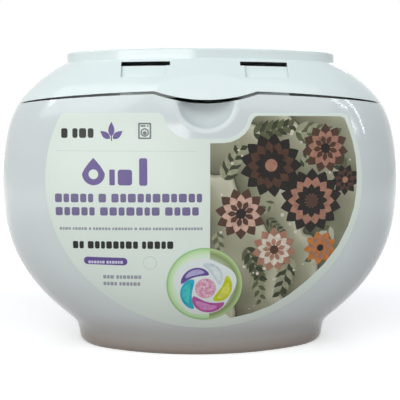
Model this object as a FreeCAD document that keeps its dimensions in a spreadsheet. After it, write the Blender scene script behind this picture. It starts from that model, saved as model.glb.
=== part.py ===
import FreeCAD, Part
import math
import os

import Sketcher

# Laundry pod tub: a wide oval tub on a narrow foot, closed by a domed lid that swings on a rear hinge.
# Millimetres. X runs across the front, -Y is the front, Z is up, and the foot stands on Z = 0.

os.makedirs("parts", exist_ok=True)
doc = FreeCAD.newDocument("LaundryPodTub")

# Driving sizes. A half width runs along X from the middle, and a half depth along Y.
# The stations are the oval sections that the tub's flank and the lid's dome run through.
sizes = {
    "sole_height": 0.0, "sole_half_width": 68.9, "sole_half_depth": 41.9,
    "heel_height": 2.2, "heel_half_width": 70.6, "heel_half_depth": 43.5,
    "ankle_height": 7.6, "ankle_half_width": 71.5, "ankle_half_depth": 44.3,
    "root_height": 11.6, "root_half_width": 73.2, "root_half_depth": 45.8,
    "shin_height": 15.8, "shin_half_width": 77.4, "shin_half_depth": 48.4,
    "low_height": 22.0, "low_half_width": 84.4, "low_half_depth": 51.8,
    "flank_height": 38.0, "flank_half_width": 98.4, "flank_half_depth": 57.0,
    "belly_height": 60.0, "belly_half_width": 109.2, "belly_half_depth": 59.4,
    "widest_height": 88.0, "widest_half_width": 113.0, "widest_half_depth": 60.5,
    "upper_height": 113.0, "upper_half_width": 110.6, "upper_half_depth": 59.8,
    "shoulder_height": 134.0, "shoulder_half_width": 103.6, "shoulder_half_depth": 57.8,
    "brow_height": 141.0, "brow_half_width": 98.2, "brow_half_depth": 55.6,
    "dome_height": 149.0, "dome_half_width": 89.3, "dome_half_depth": 50.9,
    "crest_height": 157.2, "crest_half_width": 76.6, "crest_half_depth": 44.2,
    "end_tuck": 11.0,
    "push_up_inset": 7.0, "push_up_depth": 2.6,
    "tub_wall": 1.5, "deck_wall": 1.6,
    "tub_edge_crown": 138.6, "tub_edge_drop": 4.4, "lid_edge_gap": 1.6, "lid_edge_drop": 5.3,
    "mouth_half_width": 82.0, "mouth_half_depth": 34.5, "neck_wall": 1.6, "neck_top": 146.4,
    "scoop_radius": 16.5, "scoop_level": 136.6, "scoop_centre_front": 64.0, "scoop_edge_round": 3.6,
    "lip_half_width": 27.0, "lip_drop": 4.7, "lip_back": 46.0,
    "facet_top": 148.8, "facet_top_depth": 51.0, "facet_bottom": 135.4, "facet_bottom_depth": 56.0,
    "lid_wall": 1.8, "lid_top_wall": 1.8,
    "rim_half_width": 75.8, "rim_half_depth": 43.6, "rim_wall": 2.3, "rim_top": 162.7, "rim_recess": 4.2,
    "rim_edge_round": 1.0, "rim_foot_round": 1.2,
    "window_centre": 31.9, "window_width": 23.2, "window_bottom": 147.4, "window_height": 6.1,
    "slot_width": 25.4, "slot_height": 2.2,
    "collar_fit": 0.15, "collar_wall": 1.6, "collar_lip": 1.6,
    "hinge_depth": 54.3, "hinge_height": 141.5, "hinge_centre": 20.0, "knuckle_width": 12.0,
    "knuckle_radius": 2.6, "ear_thickness": 3.4, "hinge_side_gap": 0.5, "hinge_pin_radius": 1.5,
    "pin_fit": 0.08, "ear_bar_height": 3.6,
    "tab_gap": 0.4, "tab_thickness": 2.2, "tab_overlap": 1.4, "tab_top_gap": 0.0, "tab_axis_depth": 44.4,
    "tab_axis_height": 142.4, "tab_barrel_radius": 1.9, "tab_barrel_width": 19.0, "tab_pin_radius": 1.1,
    "tab_ear_thickness": 2.2, "tab_side_gap": 0.3, "tab_stem_width": 15.0, "tab_stem_thickness": 2.4,
    "pad_height": 1.4,
    "label_half_width": 83.0, "label_half_height": 77.6, "label_centre": 94.0, "label_tuck": 4.8,
    "label_top": 129.0, "label_corner_round": 4.0, "label_thickness": 0.25, "label_glue": 0.05,
    "notch_half_width": 21.5, "notch_bottom": 116.0, "notch_round": 13.0,
    "pod_radius": 18.0, "pod_half_thickness": 7.0, "pod_spacing": 0.2, "pod_rest": 0.2,
    "end_pod_reach": 51.5,
}

sheet = doc.addObject("Spreadsheet::Sheet", "Sizes")
for row, (alias, value) in enumerate(sizes.items(), start=1):
    sheet.set(f"A{row}", alias)
    sheet.set(f"B{row}", str(value))
    sheet.setAlias(f"B{row}", alias)
doc.recompute()

stations = ["sole", "heel", "ankle", "root", "shin", "low", "flank", "belly", "widest", "upper", "shoulder", "brow", "dome", "crest"]
front_reach = 90.0


def size(expression):
    """The number that an expression on the sheet comes to."""
    value = sheet.evalExpression(expression)
    return value.Value if hasattr(value, "Value") else float(value)


def origin_plane(body, role):
    """One of a body's own origin planes."""
    return next(feature for feature in body.Origin.OriginFeatures if feature.Role == role)


def new_body(label):
    """An empty body with a label of its own."""
    body = doc.addObject("PartDesign::Body", label)
    body.Label = label
    return body


def new_sketch(body, name, plane="XY_Plane", offset="0"):
    """A sketch on one of the body's origin planes, moved along the plane's normal."""
    sketch = body.newObject("Sketcher::SketchObject", name)
    sketch.AttachmentSupport = [(origin_plane(body, plane), "")]
    sketch.MapMode = "FlatFace"
    sketch.setExpression("AttachmentOffset.Base.z", offset)
    return sketch


def oval(sketch, half_width, half_depth, tuck="Sizes.end_tuck", centre="0"):
    """Four tangent arcs: two tighter ones at the ends and two wide ones at the front and back."""
    wide, deep, ends, middle = size(half_width), size(half_depth), size(tuck), size(centre)
    side_radius = deep - ends
    face_radius = (wide - deep) ** 2 / (2 * ends) + wide
    side_centre = wide - side_radius
    face_centre = face_radius - deep
    lean = math.atan2(face_centre, side_centre)
    up = FreeCAD.Vector(0, 0, 1)

    def arc(x, y, radius, start, stop):
        circle = Part.Circle(FreeCAD.Vector(x, middle + y, 0), up, radius)
        return sketch.addGeometry(Part.ArcOfCircle(circle, start, stop), False)

    right = arc(side_centre, 0, side_radius, -lean, lean)
    back = arc(0, -face_centre, face_radius, lean, math.pi - lean)
    left = arc(-side_centre, 0, side_radius, math.pi - lean, math.pi + lean)
    front = arc(0, face_centre, face_radius, math.pi + lean, 2 * math.pi - lean)
    first, second, centre_point = 1, 2, 3
    for one, other in ((right, back), (back, left), (left, front)):
        sketch.addConstraint(Sketcher.Constraint("Tangent", one, second, other, first))
    sketch.addConstraint(Sketcher.Constraint("Coincident", front, second, right, first))
    sketch.addConstraint(Sketcher.Constraint("Equal", right, left))
    sketch.addConstraint(Sketcher.Constraint("Equal", back, front))
    for one in (back, front):
        sketch.addConstraint(Sketcher.Constraint("PointOnObject", one, centre_point, -2))
    named = [
        ("side_level", Sketcher.Constraint("DistanceY", -1, 1, right, centre_point, middle), centre),
        ("side_centre", Sketcher.Constraint("DistanceX", -1, 1, right, centre_point, side_centre),
         f"{half_width} - ({half_depth}) + {tuck}"),
        ("side_radius", Sketcher.Constraint("Radius", right, side_radius), f"{half_depth} - {tuck}"),
        ("face_radius", Sketcher.Constraint("Radius", back, face_radius),
         f"({half_width} - ({half_depth}))^2 / (2 * {tuck}) + {half_width}"),
    ]
    for name, constraint, expression in named:
        sketch.renameConstraint(sketch.addConstraint(constraint), name)
        sketch.setExpression(f"Constraints.{name}", expression)
    return sketch


def loft(body, kind, name, sketches, ruled=False):
    """A loft through oval sketches, added to or cut from the body."""
    feature = body.newObject(f"PartDesign::{kind}Loft", name)
    feature.Profile = sketches[0]
    feature.Sections = sketches[1:]
    feature.Ruled = ruled
    return feature


def flank_loft(body, inset="0", top="Sizes.crest_height"):
    """The tub's flank and the lid's dome as one smooth solid, each section inset by the same amount."""
    sections = []
    for station in stations:
        height = top if station == "crest" else f"Sizes.{station}_height"
        sketch = new_sketch(body, f"{body.Label}_{station}", offset=height)
        oval(sketch, f"Sizes.{station}_half_width - ({inset})", f"Sizes.{station}_half_depth - ({inset})")
        sections.append(sketch)
    return loft(body, "Additive", f"{body.Label}_flank", sections)


def pad(body, sketch, length, name, kind="Pad"):
    """A pad or pocket of a sketch by a length from the sheet."""
    feature = body.newObject(f"PartDesign::{kind}", name)
    feature.Profile = sketch
    feature.setExpression("Length", length)
    return feature


def oval_prism(label, half_width, half_depth, bottom, top):
    """An upright oval block between two heights."""
    body = new_body(label)
    sketch = new_sketch(body, f"{label}_oval", offset=bottom)
    oval(sketch, half_width, half_depth)
    pad(body, sketch, f"{top} - ({bottom})", f"{label}_block")
    return body


def box(name, length, width, height, x, y, z):
    """A box by its sizes and its low corner, all from the sheet."""
    solid = doc.addObject("Part::Box", name)
    for key, expression in (("Length", length), ("Width", width), ("Height", height),
                            ("Placement.Base.x", x), ("Placement.Base.y", y), ("Placement.Base.z", z)):
        solid.setExpression(key, expression)
    return solid


def cylinder(name, radius, length, x, y, z, axis="Y"):
    """A cylinder that runs along +Y or +X from a start point."""
    solid = doc.addObject("Part::Cylinder", name)
    turn = FreeCAD.Rotation(FreeCAD.Vector(1, 0, 0), -90)
    if axis == "X":
        turn = FreeCAD.Rotation(FreeCAD.Vector(0, 1, 0), 90)
    solid.Placement = FreeCAD.Placement(FreeCAD.Vector(), turn)
    for key, expression in (("Radius", radius), ("Height", length),
                            ("Placement.Base.x", x), ("Placement.Base.y", y), ("Placement.Base.z", z)):
        solid.setExpression(key, expression)
    return solid


def cut(name, base, tool):
    """Base less tool."""
    result = doc.addObject("Part::Cut", name)
    result.Base = base
    result.Tool = tool
    return result


def common(name, *shapes):
    """What all the shapes share."""
    result = doc.addObject("Part::MultiCommon", name)
    result.Shapes = list(shapes)
    return result


def fuse(name, *shapes):
    """All the shapes as one."""
    result = doc.addObject("Part::MultiFuse", name)
    result.Shapes = list(shapes)
    return result


def arch_tool(name, crown, drop, half_width):
    """A long cylinder along Y whose top is the arched line that parts the lid from the tub."""
    radius = f"(({half_width})^2 + ({drop})^2) / (2 * ({drop}))"
    return cylinder(name, radius, "240", "0", "-120", f"{crown} - {radius}")


def lip_tool(name, extra="0"):
    """The cylinder whose underside is the thumb lip's curved lower edge, in front of the neck only."""
    radius = "(Sizes.lip_half_width^2 + Sizes.lip_drop^2) / (2 * Sizes.lip_drop)"
    start = f"-{front_reach}"
    low = "Sizes.tub_edge_crown + Sizes.lid_edge_gap - Sizes.lip_drop"
    return cylinder(name, f"{radius} + {extra}", f"{front_reach} - Sizes.lip_back", "0", start, f"{low} + {radius}")


def scoop_tool(name, wall="0"):
    """The finger scoop: a round bottom under a straight well, in the middle of the front."""
    ball = doc.addObject("Part::Sphere", f"{name}_ball")
    ball.setExpression("Radius", f"Sizes.scoop_radius + {wall}")
    ball.setExpression("Placement.Base.y", "-Sizes.scoop_centre_front")
    ball.setExpression("Placement.Base.z", "Sizes.scoop_level")
    well = doc.addObject("Part::Cylinder", f"{name}_well")
    well.setExpression("Radius", f"Sizes.scoop_radius + {wall}")
    well.Height = 40
    well.setExpression("Placement.Base.y", "-Sizes.scoop_centre_front")
    well.setExpression("Placement.Base.z", "Sizes.scoop_level")
    return fuse(name, ball, well)


def edges_where(shape, test):
    """Names of the edges whose own middle point passes the test."""
    names = []
    for index, edge in enumerate(shape.Edges, start=1):
        middle = edge.valueAt((edge.FirstParameter + edge.LastParameter) / 2)
        if test(edge, middle):
            names.append(f"Edge{index}")
    return names


def round_edges(body, base, names, radius, name):
    """A fillet on named edges of a feature."""
    feature = body.newObject("PartDesign::Fillet", name)
    feature.Base = (base, names)
    feature.setExpression("Radius", radius)
    return feature


def round_cut_edges(name, base, test, radius):
    """A fillet on the edges of a boolean result that pass the test."""
    doc.recompute()
    feature = doc.addObject("Part::Fillet", name)
    feature.Base = base
    amount = size(radius)
    feature.Edges = [(int(edge[4:]), amount, amount) for edge in edges_where(base.Shape, test)]
    return feature


# The tub: one blow-moulded shell with a foot, a neck and a finger scoop.
def make_tub():
    outer = new_body("tub_outside")
    flank_loft(outer)
    inner = new_body("tub_inside")
    flank_loft(inner, "Sizes.tub_wall")
    floor = box("tub_floor", "300", "200", "Sizes.push_up_depth + Sizes.tub_wall + 1", "-150", "-100", "-1")

    edge = arch_tool("tub_arch", "Sizes.tub_edge_crown", "Sizes.tub_edge_drop", "Sizes.shoulder_half_width")
    under = arch_tool("deck_arch", "Sizes.tub_edge_crown - Sizes.deck_wall", "Sizes.tub_edge_drop",
                      "Sizes.shoulder_half_width")
    body = cut("tub_dipped", common("tub_arched", outer, edge), lip_tool("tub_dip", "Sizes.lid_edge_gap"))
    scooped = cut("tub_scooped", body, scoop_tool("scoop"))
    level = size("Sizes.scoop_level")
    reach = size("Sizes.scoop_radius")
    bowl = round_cut_edges(
        "tub_bowl", scooped,
        lambda line, point: abs(point.x) < reach and point.y < -50 and level - reach < point.z < level - 2,
        "Sizes.scoop_edge_round")
    room = cut("room_scooped", cut("room_dipped", common("room_arched", cut("room_floored", inner, floor), under),
                                   lip_tool("room_dip", "Sizes.lid_edge_gap + Sizes.deck_wall")),
               scoop_tool("scoop_wall", "Sizes.tub_wall"))
    neck = oval_prism("neck", "Sizes.mouth_half_width + Sizes.neck_wall",
                      "Sizes.mouth_half_depth + Sizes.neck_wall",
                      "Sizes.tub_edge_crown - Sizes.deck_wall - 2", "Sizes.neck_top")
    mouth = oval_prism("mouth", "Sizes.mouth_half_width", "Sizes.mouth_half_depth",
                       "Sizes.shoulder_height - 8", "Sizes.neck_top + 1")
    push_up = oval_prism("push_up", "Sizes.sole_half_width - Sizes.push_up_inset",
                         "Sizes.sole_half_depth - Sizes.push_up_inset", "-1", "Sizes.push_up_depth")
    tub = cut("tub", fuse("tub_solid", bowl, neck), fuse("tub_hollow", room, mouth, push_up))
    return tub


# The label: a thin printed film that follows the tub's front.
def make_label():
    skin = new_body("label_outside")
    flank_loft(skin, "0 - Sizes.label_glue - Sizes.label_thickness")
    base = new_body("label_inside")
    flank_loft(base, "0 - Sizes.label_glue")
    outline = new_body("label_outline")
    sketch = new_sketch(outline, "label_oval", plane="XZ_Plane")
    oval(sketch, "Sizes.label_half_width", "Sizes.label_half_height", "Sizes.label_tuck", "Sizes.label_centre")
    pad(outline, sketch, f"{front_reach}", "label_block")
    top = box("label_top_box", "240", f"{front_reach}", "Sizes.label_top", "-120", f"-{front_reach}", "0")
    notch = box("label_notch", "2 * Sizes.notch_half_width", f"{front_reach}", "60",
                "-Sizes.notch_half_width", f"-{front_reach}", "Sizes.notch_bottom")
    floor = size("Sizes.notch_bottom")
    rounded = round_cut_edges("label_notch_round", notch,
                              lambda line, point: abs(point.z - floor) < 0.01 and line.BoundBox.YLength > 50,
                              "Sizes.notch_round")
    flat = cut("label_flat", common("label_topped", outline, top), rounded)
    high = size("Sizes.label_top")
    corners = round_cut_edges("label_corners", flat,
                              lambda line, point: abs(point.z - high) < 0.01 and line.BoundBox.YLength > 50,
                              "Sizes.label_corner_round")
    return common("front_label", corners, cut("label_film", skin, base))


# The lid: dome, stacking rim, thumb lip with its facet, and two windows over the press tabs.
def make_lid():
    outer = new_body("lid_outside")
    flank_loft(outer)
    below = arch_tool("lid_arch", "Sizes.tub_edge_crown + Sizes.lid_edge_gap", "Sizes.lid_edge_drop",
                      "Sizes.shoulder_half_width")
    dome = cut("lid_dome", outer, cut("lid_below", below, lip_tool("lid_lip")))
    facet = new_body("facet")
    sketch = new_sketch(facet, "facet_line", plane="YZ_Plane")
    top_z, low_z = size("Sizes.facet_top"), size("Sizes.facet_bottom")
    top_y, low_y = -size("Sizes.facet_top_depth"), -size("Sizes.facet_bottom_depth")
    corners = [FreeCAD.Vector(top_y, top_z, 0), FreeCAD.Vector(low_y, low_z, 0),
               FreeCAD.Vector(-front_reach, low_z, 0), FreeCAD.Vector(-front_reach, top_z, 0)]
    lines = [sketch.addGeometry(Part.LineSegment(corners[k], corners[(k + 1) % 4]), False) for k in range(4)]
    for one, other in zip(lines, lines[1:] + lines[:1]):
        sketch.addConstraint(Sketcher.Constraint("Coincident", one, 2, other, 1))
    for line, kind in ((1, "Horizontal"), (2, "Vertical"), (3, "Horizontal")):
        sketch.addConstraint(Sketcher.Constraint(kind, lines[line]))
    named = [
        ("top_height", Sketcher.Constraint("DistanceY", -1, 1, lines[0], 1, top_z), "Sizes.facet_top"),
        ("low_height", Sketcher.Constraint("DistanceY", -1, 1, lines[0], 2, low_z), "Sizes.facet_bottom"),
        ("top_depth", Sketcher.Constraint("DistanceX", lines[0], 1, -1, 1, -top_y), "Sizes.facet_top_depth"),
        ("low_depth", Sketcher.Constraint("DistanceX", lines[0], 2, -1, 1, -low_y), "Sizes.facet_bottom_depth"),
        ("reach", Sketcher.Constraint("DistanceX", lines[2], 1, -1, 1, front_reach), f"{front_reach}"),
    ]
    for name, constraint, expression in named:
        sketch.renameConstraint(sketch.addConstraint(constraint), name)
        sketch.setExpression(f"Constraints.{name}", expression)
    block = pad(facet, sketch, "200", "facet_block")
    block.Midplane = True
    rim_block = new_body("rim")
    rim_sketch = new_sketch(rim_block, "rim_oval", offset="Sizes.dome_height")
    oval(rim_sketch, "Sizes.rim_half_width", "Sizes.rim_half_depth")
    rim_pad = pad(rim_block, rim_sketch, "Sizes.rim_top - Sizes.dome_height", "rim_pad")
    well_sketch = new_sketch(rim_block, "rim_well_oval", offset="Sizes.rim_top")
    oval(well_sketch, "Sizes.rim_half_width - Sizes.rim_wall", "Sizes.rim_half_depth - Sizes.rim_wall")
    pad(rim_block, well_sketch, "Sizes.rim_recess", "rim_well", kind="Pocket")
    doc.recompute()
    top = size("Sizes.rim_top")
    lips = edges_where(rim_block.Tip.Shape, lambda edge, point: abs(point.z - top) < 0.01)
    round_edges(rim_block, rim_block.Tip, lips, "Sizes.rim_edge_round", "rim_edges")

    inner = new_body("lid_inside")
    flank_loft(inner, "Sizes.lid_wall", "Sizes.rim_top - Sizes.rim_recess - Sizes.lid_top_wall")
    backing = doc.addObject("Part::Feature", "facet_backing")
    backing.Shape = facet_block_shape("Sizes.lid_wall")
    room = cut("lid_room", inner, backing)

    windows = []
    for side, sign in (("left", -1), ("right", 1)):
        centre = f"{sign} * Sizes.window_centre"
        windows.append(box(f"{side}_window", "Sizes.window_width", f"{front_reach}",
                           "Sizes.window_height + Sizes.slot_height / 2",
                           f"{centre} - Sizes.window_width / 2", f"-{front_reach}", "Sizes.window_bottom"))
        outer_edge = f"{centre} - Sizes.window_width / 2"
        if sign < 0:
            start_x = outer_edge
        else:
            start_x = f"{centre} + Sizes.window_width / 2 - Sizes.slot_width"
        windows.append(box(f"{side}_slot", "Sizes.slot_width", f"{front_reach}", "Sizes.slot_height",
                           start_x, f"-{front_reach}", "Sizes.window_bottom + Sizes.window_height"))

    notches = []
    knuckles = []
    for side, sign in (("left", -1), ("right", 1)):
        centre = f"{sign} * Sizes.hinge_centre"
        for place, way in (("inner", -1), ("outer", 1)):
            middle = f"{centre} + {way * sign} * ({ear_offset})"
            width = "Sizes.ear_thickness + 2 * Sizes.hinge_side_gap"
            notches.append(box(f"{side}_{place}_notch", width, "60", f"30 + {eye_top}",
                               f"{middle} - ({width}) / 2", "0", "Sizes.hinge_height - 30"))
        knuckles.append(cylinder(f"{side}_knuckle", "Sizes.knuckle_radius", "Sizes.knuckle_width",
                                 f"{centre} - Sizes.knuckle_width / 2", "Sizes.hinge_depth",
                                 "Sizes.hinge_height", axis="X"))
        pin_length = "Sizes.knuckle_width + 2 * Sizes.hinge_side_gap + 2 * Sizes.ear_thickness"
        knuckles.append(cylinder(f"{side}_hinge_pin", "Sizes.hinge_pin_radius", pin_length,
                                 f"{centre} - ({pin_length}) / 2", "Sizes.hinge_depth",
                                 "Sizes.hinge_height", axis="X"))
    shell = cut("lid_shell", fuse("lid_blank", cut("lid_faceted", dome, facet), rim_block), room)
    opened = cut("lid_opened", shell, fuse("lid_openings", *windows, *notches))
    return fuse("lid", opened, *knuckles)


ear_offset = "(Sizes.knuckle_width + Sizes.ear_thickness) / 2 + Sizes.hinge_side_gap"
eye_top = "Sizes.knuckle_radius + Sizes.hinge_side_gap"


def facet_block_shape(wall):
    """The wedge in front of the thumb facet, moved back by a wall and run past the lid on every side."""
    back = size(wall)
    rise = size("Sizes.facet_top - Sizes.facet_bottom")
    run = size("Sizes.facet_bottom_depth - Sizes.facet_top_depth")
    slope = run / rise
    over = 20.0
    top_y = -size("Sizes.facet_top_depth") + back + slope * over
    low_y = -size("Sizes.facet_bottom_depth") + back - slope * over
    top_z = size("Sizes.facet_top") + over
    low_z = size("Sizes.facet_bottom") - over
    points = [FreeCAD.Vector(-120, y, z) for y, z in
              ((top_y, top_z), (low_y, low_z), (-front_reach, low_z), (-front_reach, top_z), (top_y, top_z))]
    return Part.Face(Part.makePolygon(points)).extrude(FreeCAD.Vector(240, 0, 0))


def both_sides():
    """Names and signs of the left and right halves."""
    return (("left", -1), ("right", 1))


# The collar: a ring snapped over the neck, which carries the hinge ears and the two press tabs.
def make_collar():
    fit = "Sizes.collar_fit"
    bore = oval_prism("collar_bore", f"Sizes.mouth_half_width + Sizes.neck_wall + {fit}",
                      f"Sizes.mouth_half_depth + Sizes.neck_wall + {fit}",
                      "Sizes.shoulder_height - 20", "Sizes.neck_top")
    mouth = oval_prism("collar_mouth", "Sizes.mouth_half_width", "Sizes.mouth_half_depth",
                       "Sizes.shoulder_height - 20", "Sizes.neck_top + 20")
    ring = oval_prism("collar_ring", f"Sizes.mouth_half_width + Sizes.neck_wall + {fit} + Sizes.collar_wall",
                      f"Sizes.mouth_half_depth + Sizes.neck_wall + {fit} + Sizes.collar_wall",
                      "Sizes.shoulder_height - 3", "Sizes.neck_top + Sizes.collar_lip")
    inside = "Sizes.mouth_half_depth + Sizes.neck_wall / 2"
    solids = [ring]
    holes = []
    for side, sign in both_sides():
        for place, way in (("inner", -1), ("outer", 1)):
            middle = f"{sign} * Sizes.hinge_centre + {way * sign} * ({ear_offset})"
            left = f"{middle} - Sizes.ear_thickness / 2"
            solids.append(box(f"{side}_{place}_bar", "Sizes.ear_thickness", f"Sizes.hinge_depth - ({inside})",
                              "Sizes.ear_bar_height", left, inside, "Sizes.hinge_height - Sizes.knuckle_radius"))
            solids.append(cylinder(f"{side}_{place}_eye", "Sizes.knuckle_radius", "Sizes.ear_thickness",
                                   left, "Sizes.hinge_depth", "Sizes.hinge_height", axis="X"))
            holes.append(cylinder(f"{side}_{place}_eye_bore", "Sizes.hinge_pin_radius + Sizes.pin_fit",
                                  "Sizes.ear_thickness + 2", f"{left} - 1", "Sizes.hinge_depth",
                                  "Sizes.hinge_height", axis="X"))
        ear_gap = "Sizes.tab_barrel_width + 2 * Sizes.tab_side_gap"
        pad_width = f"{ear_gap} + 2 * Sizes.tab_ear_thickness"
        centre = f"{sign} * Sizes.window_centre"
        front = "Sizes.tab_axis_depth + Sizes.tab_barrel_radius"
        pad_top = "Sizes.tab_axis_height - Sizes.tab_barrel_radius - Sizes.tab_side_gap"
        solids.append(box(f"{side}_tab_pad", pad_width, f"{front} - ({inside}) + 2", "10",
                          f"{centre} - ({pad_width}) / 2", f"-({front})", f"{pad_top} - 10"))
        for place, way in (("inner", -1), ("outer", 1)):
            middle = f"{centre} + {way * sign} * (({ear_gap}) + Sizes.tab_ear_thickness) / 2"
            left = f"{middle} - Sizes.tab_ear_thickness / 2"
            solids.append(cylinder(f"{side}_{place}_tab_eye", "Sizes.tab_barrel_radius",
                                   "Sizes.tab_ear_thickness", left, "-Sizes.tab_axis_depth",
                                   "Sizes.tab_axis_height", axis="X"))
            solids.append(box(f"{side}_{place}_tab_post", "Sizes.tab_ear_thickness",
                              "2 * Sizes.tab_barrel_radius", f"Sizes.tab_axis_height - ({pad_top}) + 2", left,
                              "-Sizes.tab_axis_depth - Sizes.tab_barrel_radius", f"{pad_top} - 2"))
            holes.append(cylinder(f"{side}_{place}_tab_bore", "Sizes.tab_pin_radius + Sizes.pin_fit",
                                  "Sizes.tab_ear_thickness + 2", f"{left} - 1", "-Sizes.tab_axis_depth",
                                  "Sizes.tab_axis_height", axis="X"))
    deck = arch_tool("collar_seat", "Sizes.tub_edge_crown", "Sizes.tub_edge_drop", "Sizes.shoulder_half_width")
    raw = fuse("collar_solid", *solids)
    return cut("collar_ring_frame", raw, fuse("collar_hollow", bore, mouth, deck, *holes))


# The press tabs: each turns on its own pins and fills one window of the lid from behind.
def make_tab(side, sign, dome_face, dome_back):
    centre = f"{sign} * Sizes.window_centre"
    width = "Sizes.window_width + 2 * Sizes.tab_overlap"
    head_box = box(f"{side}_head_box", width, f"{front_reach}",
                   "Sizes.window_height + Sizes.tab_overlap - Sizes.tab_top_gap",
                   f"{centre} - ({width}) / 2", f"-{front_reach}", "Sizes.window_bottom - Sizes.tab_overlap")
    head = common(f"{side}_head", head_box, cut(f"{side}_head_skin", dome_face, dome_back))
    stem_box = box(f"{side}_stem_box", "Sizes.tab_stem_width", "Sizes.tab_stem_thickness",
                   "Sizes.window_bottom - Sizes.tab_axis_height + 2",
                   f"{centre} - Sizes.tab_stem_width / 2", "-Sizes.tab_axis_depth - Sizes.tab_stem_thickness / 2",
                   "Sizes.tab_axis_height")
    stem = common(f"{side}_stem", stem_box, dome_face)
    barrel = cylinder(f"{side}_tab_barrel", "Sizes.tab_barrel_radius", "Sizes.tab_barrel_width",
                      f"{centre} - Sizes.tab_barrel_width / 2", "-Sizes.tab_axis_depth",
                      "Sizes.tab_axis_height", axis="X")
    pin_length = "Sizes.tab_barrel_width + 2 * Sizes.tab_side_gap + 2 * Sizes.tab_ear_thickness"
    pin = cylinder(f"{side}_tab_pin", "Sizes.tab_pin_radius", pin_length, f"{centre} - ({pin_length}) / 2",
                   "-Sizes.tab_axis_depth", "Sizes.tab_axis_height", axis="X")
    return fuse(f"{side}_press_tab", head, stem, barrel, pin)


def make_tabs():
    face = new_body("tab_face")
    flank_loft(face, "Sizes.lid_wall + Sizes.tab_gap")
    back = new_body("tab_back")
    flank_loft(back, "Sizes.lid_wall + Sizes.tab_gap + Sizes.tab_thickness")
    return [make_tab(side, sign, face, back) for side, sign in both_sides()]


# The pods: forty soft pillows in flat layers, two rows deep, with one more at each end of the lowest layer.
def make_pods():
    columns_by_layer = [2, 4, 5, 5, 3]
    pitch = "(2 * Sizes.pod_radius + Sizes.pod_spacing)"
    rise = "(2 * Sizes.pod_half_thickness + Sizes.pod_rest)"
    floor = "Sizes.push_up_depth + Sizes.tub_wall + Sizes.pod_half_thickness + Sizes.pod_rest"
    places = [("-Sizes.end_pod_reach", "0", 0), ("Sizes.end_pod_reach", "0", 0)]
    for level, columns in enumerate(columns_by_layer):
        for column in range(columns):
            for row in (-0.5, 0.5):
                places.append((f"{column - (columns - 1) / 2} * {pitch}", f"{row} * {pitch}", level))
    pods = []
    for number, (x, y, level) in enumerate(places, start=1):
        pod = doc.addObject("Part::Ellipsoid", f"pod_{number:02d}")
        for key, expression in (("Radius1", "Sizes.pod_half_thickness"), ("Radius2", "Sizes.pod_radius"),
                                ("Radius3", "Sizes.pod_radius"), ("Placement.Base.x", x),
                                ("Placement.Base.y", y), ("Placement.Base.z", f"{floor} + {level} * {rise}")):
            pod.setExpression(key, expression)
        pods.append(pod)
    return pods


tub = make_tub()
label = make_label()
lid = make_lid()
collar = make_collar()
collar.Label = "collar"
tabs = make_tabs()
pods = make_pods()
parts = [tub, label, lid, collar, *tabs, *pods]
doc.recompute()
for item in doc.Objects:
    if "Invalid" in item.State or "Error" in item.State:
        raise RuntimeError(f"{item.Name} failed: {item.State}")
for item in parts:
    shape = item.Shape
    if shape.isNull() or not shape.isValid():
        raise RuntimeError(f"{item.Label} has no valid shape")
    limits = shape.optimalBoundingBox(True, False)
    print(item.Label, len(shape.Solids), "solids", round(shape.Volume), "mm3", limits)
    shape.exportStep(f"parts/{item.Label}.step")
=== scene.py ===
# Laundry pod tub: its finish, print, light and camera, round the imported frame.
# Metres throughout. X runs across the front, the front faces -Y, and the foot stands on Z = 0.
import math
import random

import bmesh
import bpy
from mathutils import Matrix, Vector
from mathutils.bvhtree import BVHTree


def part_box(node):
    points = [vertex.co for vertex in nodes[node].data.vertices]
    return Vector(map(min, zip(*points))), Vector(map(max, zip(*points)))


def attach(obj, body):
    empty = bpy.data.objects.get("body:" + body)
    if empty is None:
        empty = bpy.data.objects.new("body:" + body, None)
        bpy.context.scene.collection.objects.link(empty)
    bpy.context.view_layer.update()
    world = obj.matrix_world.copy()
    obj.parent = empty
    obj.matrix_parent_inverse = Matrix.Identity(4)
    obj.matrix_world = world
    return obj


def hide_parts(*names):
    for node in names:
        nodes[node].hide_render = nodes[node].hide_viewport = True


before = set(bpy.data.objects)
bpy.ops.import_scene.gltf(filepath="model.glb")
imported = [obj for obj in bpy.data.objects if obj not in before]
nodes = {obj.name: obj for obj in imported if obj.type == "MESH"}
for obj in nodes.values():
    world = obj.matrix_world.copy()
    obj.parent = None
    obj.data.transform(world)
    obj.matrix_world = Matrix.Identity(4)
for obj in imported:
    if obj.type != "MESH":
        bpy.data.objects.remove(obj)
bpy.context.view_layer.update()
mm = 0.001
tubBody = "tub_body"
print("frame loaded:", len(nodes), "nodes")


# Shader helpers

def makeMaterial(name):
    material = bpy.data.materials.new(name)
    material.use_nodes = True
    tree = material.node_tree
    shader = tree.nodes["Principled BSDF"]
    return material, tree, shader


def addNode(tree, kind, **settings):
    node = tree.nodes.new(kind)
    for key, value in settings.items():
        if key in node.inputs:
            node.inputs[key].default_value = value
        else:
            setattr(node, key, value)
    return node


def objectCoords(tree):
    return tree.nodes.new("ShaderNodeTexCoord").outputs["Object"]


def alongAxis(tree, axis):
    parts = tree.nodes.new("ShaderNodeSeparateXYZ")
    tree.links.new(objectCoords(tree), parts.inputs["Vector"])
    return parts.outputs[axis]


def objectPlace(tree, stretch=(1, 1, 1)):
    mapping = addNode(tree, "ShaderNodeMapping", Scale=stretch)
    tree.links.new(objectCoords(tree), mapping.inputs["Vector"])
    return mapping.outputs["Vector"]


def noiseAt(tree, place, scale, detail=3.0):
    noise = addNode(tree, "ShaderNodeTexNoise", Scale=scale, Detail=detail)
    tree.links.new(place, noise.inputs["Vector"])
    return noise.outputs["Fac"]


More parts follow.
